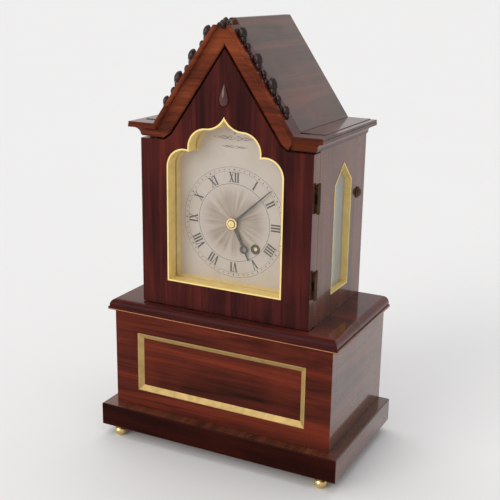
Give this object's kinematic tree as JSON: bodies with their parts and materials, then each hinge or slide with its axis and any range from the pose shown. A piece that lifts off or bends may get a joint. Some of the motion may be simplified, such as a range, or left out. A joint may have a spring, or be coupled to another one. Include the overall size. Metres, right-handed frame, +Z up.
{
  "type": "mantel clock",
  "caption": "Gothic steeple-form mantel clock: pitched roof, crocketed gable, ogee-headed glazed door, round dial, side windows, panelled pedestal on small ball feet.",
  "frame": {"origin": "on the table under the middle of the plinth, at the bottom of the feet", "axes": "+Z up, the dial faces -Y, +X to the right as seen from the front"},
  "size_m": [0.21, 0.1232, 0.3445],
  "materials": {
    "rosewood": "french-polished rosewood veneer",
    "back_mahogany": "plain waxed mahogany",
    "inner_oak": "unpolished oak",
    "case_brass": "lacquered brass",
    "aged_brass": "darkened brass",
    "movement_brass": "grained brass",
    "silvered_dial": "engraved and silvered",
    "steel": "polished steel",
    "blued_steel": "blued steel",
    "glass": "clear bevelled glass"
  },
  "bodies": {
    "case": {"back_cock": "movement_brass", "back_plate": "movement_brass", "barrel_arbor": "steel", "bolt_cap": "case_brass", "case_hinge_leaves": "aged_brass", "case_sides": "rosewood", "crockets": "rosewood", "dial_plate": "silvered_dial", "dial_surround": "case_brass", "feet": "case_brass", "finial": "rosewood", "front_frame": "rosewood", "front_plate": "movement_brass", "fusee_chain": "steel", "pedestal_back": "back_mahogany", "pedestal_front": "rosewood", "pedestal_panel": "rosewood", "pedestal_sides": "rosewood", "pedestal_slip": "case_brass", "pedestal_top": "rosewood", "pediment_moulding": "rosewood", "pillars": "movement_brass", "plinth": "rosewood", "rear_frame": "back_mahogany", "rear_gable": "back_mahogany", "roof_boards": "rosewood", "seat_board": "inner_oak", "seat_bolts": "steel", "side_cornices": "rosewood", "top_board": "rosewood", "winding_bush": "case_brass", "window_glasses": "glass", "window_slips": "case_brass"},
    "front_door": {"door_frame": "rosewood", "door_slip": "case_brass", "door_glass": "glass", "door_boss": "rosewood", "door_hinge_leaves": "aged_brass", "door_catch": "steel"},
    "rear_door": {"rear_door_frame": "back_mahogany", "rear_door_glass": "glass"},
    "rear_turn_latch": {"rear_latch": "movement_brass"},
    "minute_works": {"centre_arbor": "movement_brass", "cannon_pinion": "movement_brass", "minute_hand": "blued_steel", "hand_collet": "case_brass"},
    "hour_works": {"hour_wheel": "movement_brass", "hour_hand": "blued_steel"},
    "motion_wheel": {"minute_wheel": "movement_brass"},
    "great_wheel_set": {"great_wheel": "movement_brass"},
    "fusee_set": {"fusee": "movement_brass"},
    "spring_barrel": {"barrel": "movement_brass", "mainspring": "steel"},
    "third_wheel_set": {"third_wheel": "movement_brass"},
    "escape_wheel_set": {"escape_wheel": "movement_brass"},
    "anchor_set": {"anchor": "steel"},
    "pendulum": {"suspension_spring": "steel", "pendulum_rod": "steel", "pendulum_bob": "movement_brass"},
    "rating_nut_set": {"rating_nut": "movement_brass"}
  },
  "joints": [
    {"name": "front_door_hinge", "type": "hinge", "parent": "case", "child": "front_door", "pos_m": [0.0741, -0.0389, 0.1861], "axis": [0, 0, 1], "range_deg": [0, 110]},
    {"name": "rear_door_hinge", "type": "hinge", "parent": "case", "child": "rear_door", "pos_m": [-0.0467, 0.0586, 0.1865], "axis": [0, 0, 1], "range_deg": [0, 90]},
    {"name": "rear_latch_turn", "type": "hinge", "parent": "rear_door", "child": "rear_turn_latch", "pos_m": [0.0446, 0.0586, 0.1865], "axis": [0, 1, 0], "range_deg": [0, 90]},
    {"name": "minute_spin", "type": "hinge", "parent": "case", "child": "minute_works", "pos_m": [0, 0.01, 0.1894], "axis": [0, 1, 0], "continuous": true},
    {"name": "hour_spin", "type": "hinge", "parent": "case", "child": "hour_works", "pos_m": [0, -0.017, 0.1894], "axis": [0, 1, 0], "continuous": true},
    {"name": "motion_wheel_spin", "type": "hinge", "parent": "case", "child": "motion_wheel", "pos_m": [-0.0141, -0.014, 0.18427], "axis": [0, 1, 0], "continuous": true},
    {"name": "great_wheel_spin", "type": "hinge", "parent": "case", "child": "great_wheel_set", "pos_m": [0.0189, -0.0024, 0.1708], "axis": [0, 1, 0], "continuous": true},
    {"name": "fusee_wind", "type": "hinge", "parent": "great_wheel_set", "child": "fusee_set", "pos_m": [0.0189, 0.01, 0.1708], "axis": [0, 1, 0], "range_deg": [0, 4320]},
    {"name": "barrel_turn", "type": "hinge", "parent": "case", "child": "spring_barrel", "pos_m": [-0.026, 0.012, 0.163], "axis": [0, 1, 0], "range_deg": [0, 2614]},
    {"name": "third_wheel_spin", "type": "hinge", "parent": "case", "child": "third_wheel_set", "pos_m": [-0.014, 0.013, 0.20616], "axis": [0, 1, 0], "continuous": true},
    {"name": "escape_wheel_spin", "type": "hinge", "parent": "case", "child": "escape_wheel_set", "pos_m": [0, 0.013, 0.22016], "axis": [0, 1, 0], "continuous": true},
    {"name": "pendulum_swing", "type": "hinge", "parent": "case", "child": "pendulum", "pos_m": [0, 0.042, 0.23713], "axis": [0, 1, 0], "range_deg": [-3, 3]},
    {"name": "anchor_rock", "type": "hinge", "parent": "case", "child": "anchor_set", "pos_m": [0, 0.013, 0.23713], "axis": [0, 1, 0], "range_deg": [-3, 3]},
    {"name": "rating_nut_turn", "type": "hinge", "parent": "pendulum", "child": "rating_nut_set", "pos_m": [0, 0.042, 0.03], "axis": [0, 0, 1], "continuous": true}
  ],
  "couplings": [
    {"joint": "third_wheel_spin", "follows": "escape_wheel_spin", "ratio": -0.087912},
    {"joint": "minute_spin", "follows": "escape_wheel_spin", "ratio": 0.007326},
    {"joint": "great_wheel_spin", "follows": "escape_wheel_spin", "ratio": -0.0006105},
    {"joint": "motion_wheel_spin", "follows": "escape_wheel_spin", "ratio": -0.002442},
    {"joint": "hour_spin", "follows": "escape_wheel_spin", "ratio": 0.0006105},
    {"joint": "barrel_turn", "follows": "fusee_wind", "ratio": 0.605},
    {"joint": "anchor_rock", "follows": "pendulum_swing", "ratio": 1}
  ]
}
